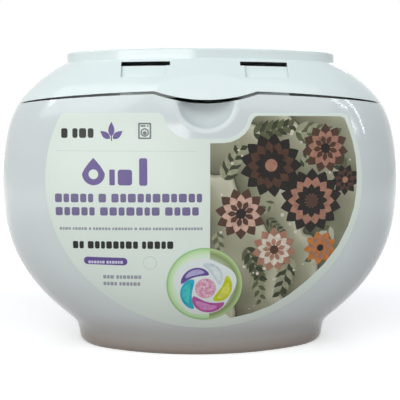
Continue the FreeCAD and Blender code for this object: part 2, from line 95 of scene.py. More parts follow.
def rampOf(tree, value, stops):
    ramp = tree.nodes.new("ShaderNodeValToRGB")
    elements = ramp.color_ramp.elements
    while len(elements) < len(stops):
        elements.new(0.5)
    for element, (position, colour) in zip(elements, stops):
        element.position = position
        element.color = (*colour, 1)
    tree.links.new(value, ramp.inputs["Fac"])
    return ramp.outputs["Color"]


def tintBy(tree, value, dark, light, low=0.3, high=0.7):
    return rampOf(tree, value, [(low, dark), (high, light)])


def remap(tree, value, low, high, start=0.0, end=1.0, kind="LINEAR"):
    # start becomes low and end becomes high
    ranger = tree.nodes.new("ShaderNodeMapRange")
    ranger.interpolation_type = kind
    for key, number in (("From Min", start), ("From Max", end), ("To Min", low), ("To Max", high)):
        ranger.inputs[key].default_value = number
    tree.links.new(value, ranger.inputs["Value"])
    return ranger.outputs["Result"]


def doMath(tree, operation, *values):
    # each value is a number or another node's socket
    node = addNode(tree, "ShaderNodeMath", operation=operation)
    for socket, value in zip(node.inputs, values):
        if isinstance(value, (int, float)):
            socket.default_value = value
        else:
            tree.links.new(value, socket)
    return node.outputs[0]


def doVectorMath(tree, operation, value, other=(0, 0, 0)):
    node = addNode(tree, "ShaderNodeVectorMath", operation=operation)
    tree.links.new(value, node.inputs[0])
    node.inputs[1].default_value = other
    return node.outputs["Value" if operation == "LENGTH" else "Vector"]


def mixColours(tree, factor, first, second):
    # the first colour where the factor is 0, the second where it is 1
    mix = addNode(tree, "ShaderNodeMix", data_type="RGBA")
    tree.links.new(factor, mix.inputs["Factor"])
    for socket, colour in ((mix.inputs[6], first), (mix.inputs[7], second)):    # its two colour sockets
        if isinstance(colour, tuple):
            socket.default_value = (*colour, 1)
        else:
            tree.links.new(colour, socket)
    return mix.outputs[2]


def setShader(shader, values):
    for name, value in values.items():
        shader.inputs[name].default_value = value


def bumpFrom(tree, shader, height, strength, distance):
    bump = addNode(tree, "ShaderNodeBump", Strength=strength, Distance=distance)
    tree.links.new(height, bump.inputs["Height"])
    tree.links.new(bump.outputs["Normal"], shader.inputs["Normal"])


# Moulded plastics: a milky white with a slow drift of tint, a soft gloss and a faint ripple from the mould

plastic = {   # what all the mouldings share
    "grainScale": 2600.0, "grainShare": 0.03, "wipeRatio": 1.7, "wipeStretch": (1, 1, 0.35),
    "milk": 0.06, "milkReach": (0.004, 0.0042, 0.0045), "index": 1.5,
}
tubLook = dict(
    plastic, light=(0.640, 0.700, 0.705), dark=(0.600, 0.655, 0.670), driftScale=14.0,
    smooth=0.07, rough=0.14, rippleScale=55.0, ripple=0.05, rippleDepth=0.0006,
    # painted shade at the foot: a warm grey mixed in below this height in metres
    paintedFootShade=(0.270, 0.220, 0.190), paintedFootShadeTop=0.024)
lidLook = dict(
    plastic, light=(0.715, 0.800, 0.800), dark=(0.680, 0.765, 0.775), driftScale=17.0,
    smooth=0.09, rough=0.17, rippleScale=60.0, ripple=0.035, rippleDepth=0.0005)
collarLook = dict(lidLook, light=(0.66, 0.71, 0.72), dark=(0.62, 0.67, 0.69), smooth=0.28, rough=0.4)
tabLook = dict(lidLook, smooth=0.24, rough=0.36, grainScale=3200.0)


def mouldedPlastic(name, look):
    material, tree, shader = makeMaterial(name)
    place = objectPlace(tree)
    drift = noiseAt(tree, place, look["driftScale"], 2.0)
    colour = tintBy(tree, drift, look["dark"], look["light"], 0.35, 0.65)
    if "paintedFootShade" in look:
        # painted shade: the foot turns greyer and warmer towards the floor, standing in for the shade under the
        # body's overhang
        fade = remap(tree, alongAxis(tree, "Z"), 0.0, 1.0, look["paintedFootShadeTop"], 0.0, "SMOOTHSTEP")
        colour = mixColours(tree, fade, colour, look["paintedFootShade"])
    tree.links.new(colour, shader.inputs["Base Color"])
    wipeScale = look["rippleScale"] * look["wipeRatio"]
    wipe = noiseAt(tree, objectPlace(tree, look["wipeStretch"]), wipeScale, 4.0)
    tree.links.new(remap(tree, wipe, look["smooth"], look["rough"]), shader.inputs["Roughness"])
    ripple = noiseAt(tree, place, look["rippleScale"], 1.0)
    grain = noiseAt(tree, place, look["grainScale"], 2.0)
    height = doMath(tree, "MULTIPLY_ADD", grain, look["grainShare"], ripple)
    bumpFrom(tree, shader, height, look["ripple"], look["rippleDepth"])
    setShader(shader, {"Subsurface Weight": look["milk"], "Subsurface Radius": look["milkReach"],
                       "IOR": look["index"]})
    return material


def dress(nodeName, material):
    materials = nodes[nodeName].data.materials
    materials.clear()
    materials.append(material)


dress("tub", mouldedPlastic("tubPlastic", tubLook))
dress("lid", mouldedPlastic("lidPlastic", lidLook))
dress("collar", mouldedPlastic("collarPlastic", collarLook))
tabPlastic = mouldedPlastic("tabPlastic", tabLook)
for side in ("left", "right"):
    dress(f"{side}_press_tab", tabPlastic)
print("moulded plastics dressed")


# Label: its film lies a little under the solid label's face, so that every ink lies inside that face

labelLook = {"light": (0.690, 0.775, 0.715), "dark": (0.665, 0.750, 0.695), "driftScale": 22.0,
             "smooth": 0.24, "rough": 0.36, "wipeScale": 140.0, "specular": 0.3,
             "peel": 0.03, "peelScale": 900.0, "peelDepth": 0.0003, "sunk": 0.15}
sameSpot = 7         # decimals of a metre to which two corners are the same
rayStart = -0.09     # well in front of the label
forward = -0.1       # a face looks forward if its normal's y is less than this


def labelFilm():
    look = labelLook
    material, tree, shader = makeMaterial("labelFilm")
    place = objectPlace(tree)
    colour = tintBy(tree, noiseAt(tree, place, look["driftScale"]), look["dark"], look["light"])
    tree.links.new(colour, shader.inputs["Base Color"])
    wipe = noiseAt(tree, place, look["wipeScale"], 4.0)
    tree.links.new(remap(tree, wipe, look["smooth"], look["rough"]), shader.inputs["Roughness"])
    setShader(shader, {"Specular IOR Level": look["specular"]})
    bumpFrom(tree, shader, noiseAt(tree, place, look["peelScale"]), look["peel"], look["peelDepth"])
    return material


solidLabel = nodes["front_label"]
labelTree = BVHTree.FromPolygons([v.co[:] for v in solidLabel.data.vertices],
                                 [p.vertices[:] for p in solidLabel.data.polygons])
dress("front_label", labelFilm())


def onLabel(x, z, lift):
    hit, normal, _, _ = labelTree.ray_cast(Vector((x, rayStart, z)), Vector((0, 1, 0)))
    if hit is None:
        return None
    if normal.y > 0:
        normal = -normal
    return hit + normal * lift


def makeFilm():
    film = solidLabel.copy()
    film.data = solidLabel.data.copy()
    film.name = "label_film_sheet"
    outward = {}     # each corner's way out, from the faces that look forward
    for polygon in film.data.polygons:
        if polygon.normal.y < forward:
            for index in polygon.vertices:
                spot = film.data.vertices[index].co.to_tuple(sameSpot)
                outward[spot] = outward.get(spot, Vector()) + polygon.normal
    for vertex in film.data.vertices:
        spot = vertex.co.to_tuple(sameSpot)
        if spot in outward:
            vertex.co -= outward[spot].normalized() * labelLook["sunk"] * mm
    bpy.context.collection.objects.link(film)
    film.parent = None
    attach(film, tubBody)
    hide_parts("front_label")


makeFilm()
print("label film laid")


# Print: outlines in millimetres, x across and z up, laid on the label in thin layers

inkStep = 2.0        # grid that bends each ink round the label
layerStep = 0.028    # from one layer of ink to the next
fullRound = 0.499    # a shade under half, so that a bar's round ends don't meet


def roundedBar(x0, x1, z0, z1, radius=None, steps=5):
    if radius is None:
        radius = min(x1 - x0, z1 - z0) * fullRound
    points = []
    for cx, cz, start in ((x1 - radius, z1 - radius, 0), (x0 + radius, z1 - radius, 90),
                          (x0 + radius, z0 + radius, 180), (x1 - radius, z0 + radius, 270)):
        for k in range(steps + 1):
            turn = math.radians(start + 90 * k / steps)
            points.append((cx + radius * math.cos(turn), cz + radius * math.sin(turn)))
    return points


def turned(points, cx, cz, lean):
    c, s = math.cos(lean), math.sin(lean)
    return [(cx + u * c - v * s, cz + u * s + v * c) for u, v in points]


def turns(steps):
    return [2 * math.pi * k / steps for k in range(steps)]


def disc(cx, cz, radius, steps=40):
    return [(cx + radius * math.cos(t), cz + radius * math.sin(t)) for t in turns(steps)]


def leafShape(cx, cz, length, width, lean, fullness=0.8, steps=12):
    edge = [(k / steps, math.sin(math.pi * (k / steps) ** fullness)) for k in range(1, steps)]
    upper = [(length * u, width / 2 * v) for u, v in edge]
    lower = [(u, -v) for u, v in reversed(upper)]
    return turned([(0, 0)] + upper + [(length, 0)] + lower, cx, cz, lean)


def comma(cx, cz, lead, span, half, share=1.0, steps=20):
    # a comma round the middle: it starts far out at its lead and swings in to end by the middle
    first, last = bubbleLook["leadReach"], bubbleLook["endReach"]
    out, back = [], []
    for k in range(steps + 1):
        part = 0.5 + (k / steps - 0.5) * share
        turn = math.radians(lead - span * part)
        radius = first + (last - first) * part
        thick = half * share * math.sin(math.pi * k / steps) ** bubbleLook["taper"]
        out.append(((radius + thick) * math.cos(turn), (radius + thick) * math.sin(turn)))
        back.append(((radius - thick) * math.cos(turn), (radius - thick) * math.sin(turn)))
    return [(cx + u, cz + v) for u, v in out + back[-2:0:-1]]


def ringShape(cx, cz, outer, inner, steps=48):
    return (disc(cx, cz, outer, steps), disc(cx, cz, inner, steps))


rowDroop = {"level": 110.0, "least": 0.3, "perLevel": 0.018, "reach": 78.0}


def drooped(points):
    # rows sag towards the label's sides, the lower ones more
    kept = []
    for x, z in points:
        sag = rowDroop["least"] + rowDroop["perLevel"] * (rowDroop["level"] - z)
        kept.append((x, z - sag * (x / rowDroop["reach"]) ** 2))
    return kept


def bentRound(mesh):
    # cuts flat ink along the grid, so that it can follow the label
    for axis in (Vector((1, 0, 0)), Vector((0, 0, 1))):
        places = [v.co.dot(axis) / mm for v in mesh.verts]
        for k in range(int(min(places) // inkStep), int(max(places) // inkStep) + 1):
            bmesh.ops.bisect_plane(mesh, geom=mesh.verts[:] + mesh.edges[:] + mesh.faces[:],
                                   dist=10 ** -sameSpot, plane_co=axis * (k * inkStep * mm), plane_no=axis)


def printShapes(name, outlines, material, layer):
    # each outline is a list of (x, z) points, or an outer one with a hole
    mesh = bmesh.new()
    for outline in outlines:
        loops = outline if isinstance(outline[0][0], (list, tuple)) else [outline]
        edges = []
        for loop in loops:
            verts = [mesh.verts.new((x * mm, 0, z * mm)) for x, z in loop]
            edges += [mesh.edges.new((verts[k - 1], verts[k])) for k in range(len(verts))]
        bmesh.ops.triangle_fill(mesh, use_beauty=True, edges=edges)
    bentRound(mesh)
    lost = []        # corners past the label's edge
    lift = layer * layerStep - labelLook["sunk"]
    for v in mesh.verts:
        place = onLabel(v.co.x, v.co.z, lift * mm)
        if place is None:
            lost.append(v)
        else:
            v.co = place
    bmesh.ops.delete(mesh, geom=lost, context="VERTS")
    mesh.normal_update()
    for face in mesh.faces:
        if face.normal.y > 0:
            face.normal_flip()
        face.smooth = True
    data = bpy.data.meshes.new(name)
    mesh.to_mesh(data)
    mesh.free()
    data.materials.append(material)
    piece = bpy.data.objects.new(name, data)
    bpy.context.collection.objects.link(piece)
    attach(piece, tubBody)


inkGloss = {"spread": 0.05, "specular": 0.25}


def inkMaterial(name, colour, speckle=0.06, roughness=0.3, grain=700.0):
    material, tree, shader = makeMaterial(name)
    dots = noiseAt(tree, objectPlace(tree), grain, 2.0)
    dark = tuple(c * (1 - speckle) for c in colour)
    tree.links.new(tintBy(tree, dots, dark, colour), shader.inputs["Base Color"])
    gloss = remap(tree, dots, roughness - inkGloss["spread"], roughness + inkGloss["spread"])
    tree.links.new(gloss, shader.inputs["Roughness"])
    setShader(shader, {"Specular IOR Level": inkGloss["specular"]})
    return material


inks = {
    "purple": (0.120, 0.080, 0.262), "softPurple": (0.155, 0.130, 0.265), "grey": (0.31, 0.33, 0.38),
    "line": (0.150, 0.165, 0.170), "dark": (0.013, 0.014, 0.011), "faint": (0.53, 0.62, 0.57),
    "pale": (0.62, 0.60, 0.78),
}
inkOf = {name: inkMaterial(name + "Ink", colour) for name, colour in inks.items()}

# Rows of small plain blocks stand where a label has its words
rowBlocks = {"widths": (0.82, 0.66, 0.9, 0.72, 0.6, 0.86), "gap": 0.2, "wordGap": 0.62, "fill": 0.9,
             "corner": 0.16, "cornerSteps": 2}


def blockRow(x0, x1, z0, z1, words):
    # words: how many blocks each word has; the row is stretched to end at x1
    widths = rowBlocks["widths"]
    height = z1 - z0
    plan = []
    x = 0.0
    for word in words:
        for _ in range(word):
            width = widths[len(plan) % len(widths)]
            plan.append((x, x + width))
            x += width + rowBlocks["gap"]
        x += rowBlocks["wordGap"] - rowBlocks["gap"]
    stretch = (x1 - x0) / plan[-1][1]
    inset = height * (1 - rowBlocks["fill"]) / 2
    return [drooped(roundedBar(x0 + a * stretch, x0 + b * stretch, z0 + inset, z1 - inset,
                               height * rowBlocks["corner"], rowBlocks["cornerSteps"])) for a, b in plan]


labelRows = {
    # ink, layer, then each row's x0, x1, z0, z1 and how many blocks its words have
    "name_blocks": ("dark", 1, [(-74.2, -57.2, 116.2, 121.6, [1, 3])]),
    "headlines": ("softPurple", 1, [(-77.8, -2.3, 83.7, 88.6, [5, 1, 11]), (-77.6, -4.0, 77.0, 81.7, [5, 7, 4])]),
    "benefits": ("grey", 1, [(-75.7, -2.1, 69.7, 71.2, [4, 5, 1, 6, 7, 1, 4, 7, 9])]),
    "power_row": ("dark", 1, [(-68.8, -16.9, 59.9, 64.2, [2, 8, 5])]),
    "pill_blocks": ("pale", 2, [(-60.8, -42.8, 52.2, 53.8, [6, 6])]),
    "content_rows": ("grey", 1, [(-53.2, -33.4, 44.1, 46.2, [3, 7]), (-53.2, -34.0, 40.4, 42.5, [4, 6])]),
}
labelMarks = {
    "pill": (-63.2, -40.4, 51.0, 55.0), "rule": (-77.0, -5.2, 109.62, 109.84), "ring": (-28.8, 52.6, 3.5, 3.2),
    "sprig": {"x": -48.0, "z": 114.8, "length": 7.4, "width": 3.2, "rise": 2.3, "stalkHalf": 0.3, "stalkTop": 2.6,
              "sideAcross": 0.7, "sideRise": 1.2, "sideLength": 0.86, "sideLean": 52},
    "drop": {"x": -57.4, "z": 98.1, "half": 5.9, "below": 5.8, "above": 8.2, "taper": 0.55, "steps": 48},
    "dropEye": (-57.4, 97.9, 2.5, 24),
    "largeBlocks": [(-49.2, -46.4, 92.4, 100.4, 0.5), (-44.9, -37.6, 92.4, 100.4, 1.4),
                    (-34.0, -29.9, 92.3, 106.2, 1.0)],
    "washerCase": [(-34.4, -27.8, 115.8, 124.0, 0.6), (-33.6, -28.6, 116.6, 123.2, 0.4)],
    "washerDoor": (-31.1, 119.1, 2.15, 1.45, 24), "washerDrum": (-31.1, 118.8, 1.0, 16),
    "washerPanel": [(-33.2, -30.6, 122.0, 122.8, 0.3), (-29.9, -29.1, 122.0, 122.8, 0.35)],
}


def sprigShapes(look):
    x, z = look["x"], look["z"]
    shapes = [leafShape(x, z + look["rise"], look["length"], look["width"], math.radians(90)),
              roundedBar(x - look["stalkHalf"], x + look["stalkHalf"], z, z + look["stalkTop"])]
    for way in (-1, 1):
        shapes.append(leafShape(x + look["sideAcross"] * way, z + look["sideRise"],
                                look["length"] * look["sideLength"], look["width"],
                                math.radians(90 - look["sideLean"] * way)))
    return shapes


def dropShape(look):
    # round below, and drawn in to a point above
    points = []
    for t in turns(look["steps"]):
        across, up = math.cos(t), math.sin(t)
        if up >= 0:
            across *= (1 - up) ** look["taper"]
        points.append((look["x"] + look["half"] * across, look["z"] + look["below" if up < 0 else "above"] * up))
    return points


def printWords():
    for name, (ink, layer, rows) in labelRows.items():
        blocks = [block for row in rows for block in blockRow(*row)]
        printShapes(f"print_{name}", blocks, inkOf[ink], layer)


def printMarks():
    marks = labelMarks
    large = [(dropShape(marks["drop"]), disc(*marks["dropEye"]))]
    large += [roundedBar(*block) for block in marks["largeBlocks"]]
    case, front = (roundedBar(*edge) for edge in marks["washerCase"])
    washer = [(case, front), ringShape(*marks["washerDoor"]), disc(*marks["washerDrum"])]
    washer += [roundedBar(*block) for block in marks["washerPanel"]]
    for name, shapes, ink in (
            ("sprig", sprigShapes(marks["sprig"]), "purple"), ("large_mark", large, "purple"),
            ("pill", [roundedBar(*marks["pill"])], "purple"), ("rule", [roundedBar(*marks["rule"])], "faint"),
            ("ring", [ringShape(*marks["ring"])], "faint"), ("washer", washer, "line")):
        printShapes(f"print_{name}", shapes, inkOf[ink], 1)


printWords()
printMarks()
print("words and marks printed")


# Picture side: folded linen with leaves, blooms and buds, and a bubble with a five part pod at its corner

pictureOutline = [(1.8, 61.0), (1.8, 113.7), (8.5, 113.8), (12.4, 114.3), (16.1, 115.9), (19.3, 118.3),
                  (21.7, 121.4), (23.2, 125.2), (24.6, 127.0), (26.0, 127.5),
                  (70.4, 127.5), (72.8, 126.6), (74.6, 122.4), (77.2, 115.0), (79.0, 107.0), (79.8, 98.0),
                  (79.8, 90.0), (78.6, 80.0), (75.4, 70.0), (70.0, 59.4), (62.6, 50.0), (53.4, 41.4),
                  (44.0, 34.0), (34.3, 28.2), (24.0, 24.4), (12.9, 22.0), (5.0, 30.0)]
pictureInks = {
    "olive": (0.105, 0.115, 0.060), "moss": (0.040, 0.048, 0.024), "sage": (0.330, 0.340, 0.225),
    "paleSage": (0.480, 0.480, 0.370), "umber": (0.011, 0.008, 0.006), "sepia": (0.078, 0.038, 0.024),
    "clay": (0.390, 0.200, 0.140), "blush": (0.620, 0.400, 0.320), "cream": (0.700, 0.640, 0.540),
    "amber": (0.560, 0.200, 0.045),
}
pictureInk = {name: inkMaterial(name + "Print", colour, speckle=0.28, roughness=0.32, grain=420.0)
              for name, colour in pictureInks.items()}

linenLook = {
    "wave": {"Scale": 17.0, "Distortion": 11.0, "Detail": 3.0, "Detail Scale": 0.9},
    # across one fold, from its shade to its crest
    "stops": [(0.0, (0.030, 0.030, 0.018)), (0.05, (0.120, 0.122, 0.078)), (0.30, (0.215, 0.216, 0.145)),
              (0.70, (0.330, 0.330, 0.235)), (0.93, (0.500, 0.495, 0.380)), (1.0, (0.230, 0.230, 0.155))],
    "finish": {"Roughness": 0.32, "Specular IOR Level": 0.25},
}


def linenMaterial():
    material, tree, shader = makeMaterial("linenPrint")
    folds = addNode(tree, "ShaderNodeTexWave", bands_direction="DIAGONAL", wave_profile="SAW", **linenLook["wave"])
    tree.links.new(objectPlace(tree), folds.inputs["Vector"])
    tree.links.new(rampOf(tree, folds.outputs["Fac"], linenLook["stops"]), shader.inputs["Base Color"])
    setShader(shader, linenLook["finish"])
    return material


blooms = [
    # x, z, radius, petals, outer, inner, middle
    (33.0, 102.5, 16.0, 13, "umber", "sepia", "clay"),
    (62.0, 111.0, 12.5, 11, "sepia", "clay", "umber"),
    (54.5, 84.0, 16.5, 14, "umber", "clay", "sepia"),
    (17.5, 78.0, 13.0, 11, "sepia", "blush", "umber"),
    (73.0, 94.5, 8.0, 9, "umber", "sepia", "clay"),
    (35.0, 59.0, 11.5, 11, "clay", "cream", "sepia"),
    (60.0, 59.0, 9.0, 9, "amber", "clay", "umber"),
]
sprays = [
    # x, z, length, leaves, lean in degrees, ink, second ink
    (22.0, 118.0, 22.0, 7, 12, "moss", "olive"), (44.0, 119.5, 24.0, 8, -4, "olive", "sage"),
    (8.0, 94.0, 20.0, 7, 62, "moss", "sage"), (73.0, 98.0, 18.0, 6, 118, "olive", "moss"),
    (20.0, 62.0, 20.0, 7, -66, "olive", "moss"), (44.0, 56.0, 22.0, 7, -104, "moss", "sage"),
    (66.0, 72.0, 22.0, 7, -118, "olive", "paleSage"), (26.0, 47.0, 16.0, 6, -80, "sage", "olive"),
    (5.0, 70.0, 13.0, 5, -80, "sage", "olive"), (50.0, 100.0, 12.0, 5, 76, "sage", "moss"),
    (36.0, 84.0, 12.0, 5, -150, "olive", "sage"), (30.0, 76.0, 12.0, 5, -40, "moss", "olive"),
]


def insidePicture(x, z):
    inside = False
    points = pictureOutline
    for k in range(len(points)):
        (xa, za), (xb, zb) = points[k - 1], points[k]
        if (za > z) != (zb > z) and x < (xb - xa) * (z - za) / (zb - za) + xa:
            inside = not inside
    return inside


clipStep = 0.05


def clipToPicture(outline):
    # keeps a shape only where it lies inside the picture, by drawing stray points back towards its middle
    cx = sum(p[0] for p in outline) / len(outline)
    cz = sum(p[1] for p in outline) / len(outline)
    kept = []
    for x, z in outline:
        part = 1.0
        while part > clipStep and not insidePicture(cx + (x - cx) * part, cz + (z - cz) * part):
            part -= clipStep
        kept.append((cx + (x - cx) * part, cz + (z - cz) * part))
    return kept


bloomLook = {"start": 0.12, "long": 0.9, "wide": 0.46, "fullness": 1.25, "layer": 3, "layerPerRing": 0.7,
             "middle": 0.2, "middleSteps": 20, "middleLayer": 5.1}


def printBloom(number, x, z, radius, petals, outerInk, innerInk, middleInk):
    look = bloomLook
    # each ring's share of the radius, petals, ink, and turn in petals
    rings = ((1.0, petals, outerInk, 0.0), (0.72, petals, innerInk, 0.5), (0.46, petals - 2, outerInk, 0.2))
    for ring, (size, count, ink, turn) in enumerate(rings):
        shapes = []
        for k in range(count):
            lean = 2 * math.pi * (k + turn) / count + number
            start = look["start"] * radius
            petal = leafShape(x + start * math.cos(lean), z + start * math.sin(lean), radius * size * look["long"],
                              radius * size * look["wide"], lean, look["fullness"])
            shapes.append(clipToPicture(petal))
        printShapes(f"print_bloom_{number}_{ring}", shapes, pictureInk[ink],
                    look["layer"] + ring * look["layerPerRing"])
    printShapes(f"print_bloom_{number}_middle", [disc(x, z, radius * look["middle"], look["middleSteps"])],
                pictureInk[middleInk], look["middleLayer"])


sprayLook = {"first": 0.6, "leaf": 0.40, "shrink": 0.18, "wide": 0.135, "open": 42,
             "layer": 2, "layerPerTier": 0.4}


def printSpray(number, x, z, length, count, lean, ink, second):
    look = sprayLook
    lean, spread = math.radians(lean), math.radians(look["open"])
    tiers = ([], [])
    for k in range(count):
        part = (k + look["first"]) / count
        bx, bz = x + length * part * math.cos(lean), z + length * part * math.sin(lean)
        for way in (-1, 1):
            leaf = leafShape(bx, bz, length * (look["leaf"] - look["shrink"] * part), length * look["wide"],
                             lean + way * spread)
            tip = leaf[len(leaf) // 2]
            if insidePicture(bx, bz) and insidePicture(*tip):
                tiers[(k + (way > 0)) % 2].append(clipToPicture(leaf))
    for tier, (leaves, name) in enumerate(zip(tiers, (ink, second))):
        if leaves:
            printShapes(f"print_spray_{number}_{tier}", leaves, pictureInk[name],
                        look["layer"] + tier * look["layerPerTier"])


def printPicture():
    printShapes("print_linen", [pictureOutline], linenMaterial(), 1)
    for number, spray in enumerate(sprays):
        printSpray(number, *spray)
    for number, bloom in enumerate(blooms):
        printBloom(number, *bloom)


printPicture()

bubbleLook = {
    "x": -0.9, "z": 41.0, "radius": 19.6, "steps": 72, "layer": 3, "roughness": 0.3,
    "pictureSide": 1.8,     # from this x on, the picture shows through
    # from the middle out to the rim, over the plain side and over the picture
    "stops": [(0.55, (0.660, 0.750, 0.700)), (0.80, (0.600, 0.740, 0.560)), (0.93, (0.450, 0.660, 0.340)),
              (0.985, (0.230, 0.460, 0.180)), (1.0, (0.330, 0.560, 0.270))],
    "pictureStops": [(0.70, (0.400, 0.440, 0.310)), (0.86, (0.190, 0.260, 0.090)), (0.93, (0.300, 0.420, 0.160)),
                     (0.975, (0.420, 0.560, 0.290)), (1.0, (0.230, 0.330, 0.130))],
    "cloud": 15.6, "cloudDrop": 0.8, "cloudFlat": 0.4, "cloudSteps": 64, "cloudLayer": 3.6,
    "cloudInk": (0.690, 0.755, 0.745),
    # swells of the cloud's edge: how many round it, their lead, and their height across and up
    "swells": ((3, 0.6, 0.9, 0.8), (5, 0.0, 0.5, 0.5)),
    "podX": -0.4, "podZ": 39.2, "podLayer": 4.1, "podLayerStep": 0.12, "lightRise": 0.06, "lightShare": 0.62,
    "leadReach": 12.6, "endReach": 7.6, "taper": 0.62,
    # name, lead and span in degrees, half width, deep and light colour
    "parts": [("clear", 98, 84, 2.7, (0.560, 0.650, 0.680), (0.700, 0.770, 0.790)),
              ("violet", 170, 94, 2.5, (0.120, 0.075, 0.300), (0.420, 0.380, 0.610)),
              ("yellow", 32, 90, 3.1, (0.520, 0.590, 0.012), (0.700, 0.720, 0.120)),
              ("magenta", -38, 108, 3.1, (0.440, 0.095, 0.330), (0.640, 0.270, 0.540)),
              ("cyan", -117, 102, 3.2, (0.025, 0.400, 0.560), (0.065, 0.560, 0.540))],
    # speckle, roughness and grain of the parts' deep and light inks
    "deepInk": (0.18, 0.28, 260.0), "lightInk": (0.2, 0.28, 260.0),
    "middle": 5.4, "middleSteps": 32, "middleLayer": 4.9, "middleInk": (0.660, 0.360, 0.480),
    "grainInks": {"light": (0.790, 0.560, 0.640), "dark": (0.560, 0.200, 0.350)}, "grainSpeckle": 0.1,
    "grains": 34, "grainSeed": 8, "grainTurn": 2.399, "grainReach": 0.88, "grainSize": (0.35, 0.6),
    "grainSteps": 10, "grainLayer": 5.1,
}
budLook = {"count": 22, "seed": 31, "x": (4, 77), "z": (30, 124), "size": (0.5, 1.0), "steps": 14, "layer": 2.9,
           "bloomClear": 0.95, "bubbleClear": 22, "edgeClear": 2}


def printBuds():
    # small pale buds, strewn where the linen is bare
    look, edge = budLook, budLook["edgeClear"]
    dots = random.Random(look["seed"])
    buds = []
    while len(buds) < look["count"]:
        x, z, size = (dots.uniform(*look[key]) for key in ("x", "z", "size"))
        clear = all(math.hypot(x - b[0], z - b[1]) > b[2] * look["bloomClear"] for b in blooms)
        clear = clear and math.hypot(x - bubbleLook["x"], z - bubbleLook["z"]) > look["bubbleClear"]
        if clear and all(insidePicture(x + u, z + v) for u in (-edge, edge) for v in (-edge, edge)):
            buds.append(disc(x, z, size, look["steps"]))
    printShapes("print_buds", buds, pictureInk["cream"], look["layer"])


printBuds()
print("picture printed")


def bubbleMaterial():
    look = bubbleLook
    material, tree, shader = makeMaterial("bubblePrint")
    away = doVectorMath(tree, "SUBTRACT", objectCoords(tree), (look["x"] * mm, 0, look["z"] * mm))
    reach = doVectorMath(tree, "LENGTH", doVectorMath(tree, "MULTIPLY", away, (1, 0, 1)))
    part = doMath(tree, "DIVIDE", reach, look["radius"] * mm)
    side = doMath(tree, "GREATER_THAN", alongAxis(tree, "X"), look["pictureSide"] * mm)
    colour = mixColours(tree, side, rampOf(tree, part, look["stops"]), rampOf(tree, part, look["pictureStops"]))
    tree.links.new(colour, shader.inputs["Base Color"])
    setShader(shader, {"Roughness": look["roughness"]})
    return material


def cloudShape(cx, cz):
    # a round patch of foam whose edge swells and sinks a little
    points = []
    for t in turns(bubbleLook["cloudSteps"]):
        across, up = bubbleLook["cloud"], bubbleLook["cloud"] - bubbleLook["cloudFlat"]
        for count, lead, wide, tall in bubbleLook["swells"]:
            across += wide * math.sin(count * t + lead)
            up += tall * math.sin(count * t + lead)
        points.append((cx + across * math.cos(t), cz - bubbleLook["cloudDrop"] + up * math.sin(t)))
    return points


def printGrains(cx, cz, inner):
    look = bubbleLook
    sizes = random.Random(look["grainSeed"])
    shades = {"light": [], "dark": []}
    for k in range(look["grains"]):
        turn = k * look["grainTurn"]
        reach = inner * look["grainReach"] * math.sqrt((k + 0.5) / look["grains"])
        grain = disc(cx + reach * math.cos(turn), cz + reach * math.sin(turn),
                     sizes.uniform(*look["grainSize"]), look["grainSteps"])
        shades["light" if k % 2 else "dark"].append(grain)
    for shade, grains in shades.items():
        ink = inkMaterial(f"grain{shade.title()}Print", look["grainInks"][shade], look["grainSpeckle"])
        printShapes(f"print_grains_{shade}", grains, ink, look["grainLayer"])


def printBubble():
    look = bubbleLook
    cx, cz = look["x"], look["z"]
    printShapes("print_bubble", [disc(cx, cz, look["radius"], look["steps"])], bubbleMaterial(), look["layer"])
    printShapes("print_cloud", [cloudShape(cx, cz)], inkMaterial("cloudPrint", look["cloudInk"], 0.03),
                look["cloudLayer"])
    cx, cz = look["podX"], look["podZ"]
    for number, (name, lead, span, half, deep, light) in enumerate(look["parts"]):
        layer = look["podLayer"] + look["podLayerStep"] * number
        printShapes(f"print_pod_{name}", [comma(cx, cz, lead, span, half)],
                    inkMaterial(name + "Print", deep, *look["deepInk"]), layer)
        printShapes(f"print_pod_{name}_light", [comma(cx, cz, lead, span, half, look["lightShare"])],
                    inkMaterial(name + "LightPrint", light, *look["lightInk"]), layer + look["lightRise"])
    printShapes("print_pod_middle", [disc(cx, cz, look["middle"], look["middleSteps"])],
                inkMaterial("rosePrint", look["middleInk"], look["grainSpeckle"]), look["middleLayer"])
    printGrains(cx, cz, look["middle"])


printBubble()
print("bubble printed")


# Pods: a sealed film pillow with five coloured parts round a middle of grains

podLook = {
    "rings": (0.0, 0.12, 0.22, 0.30, 0.345, 0.39, 0.42, 0.46, 0.53, 0.61, 0.69, 0.77, 0.82, 0.85, 0.88, 0.94, 1.0),
    "around": 70, "parts": 5, "middle": 0.40, "chamberEnd": 0.85, "swirl": 0.62, "middleCrown": 0.86,
    "partCrown": 0.93, "crownAcross": 0.55, "crownAlong": 0.45, "belly": 0.6, "filmDip": 0.16, "seam": 0.05,
    "ridge": 0.035, "ridgeIn": 0.06, "ridgeOut": 0.97, "turnSeed": 5,
    "colours": {"podViolet": (0.110, 0.060, 0.330), "podClear": (0.560, 0.640, 0.680),
                "podYellow": (0.560, 0.560, 0.030), "podMagenta": (0.480, 0.060, 0.300),
                "podCyan": (0.020, 0.330, 0.480), "podGrains": (0.680, 0.330, 0.460),
                "podFilm": (0.640, 0.680, 0.690)},
    "palest": 0.8, "paler": 1.35, "haze": 0.03, "hazeScale": 130.0, "rippleScale": 420.0, "ripple": 0.18,
    "grainScale": 900.0, "grainPale": (0.85, 0.62, 0.72), "grainBump": 0.6, "bumpDepth": 0.0004,
    "finish": {"Roughness": 0.16, "Coat Weight": 0.5, "Coat Roughness": 0.08, "Subsurface Weight": 0.15,
               "Subsurface Radius": (0.003, 0.003, 0.003)},
}
podSlots = list(podLook["colours"])
cyanSlot, grainSlot, filmSlot = (podSlots.index(name) for name in ("podCyan", "podGrains", "podFilm"))


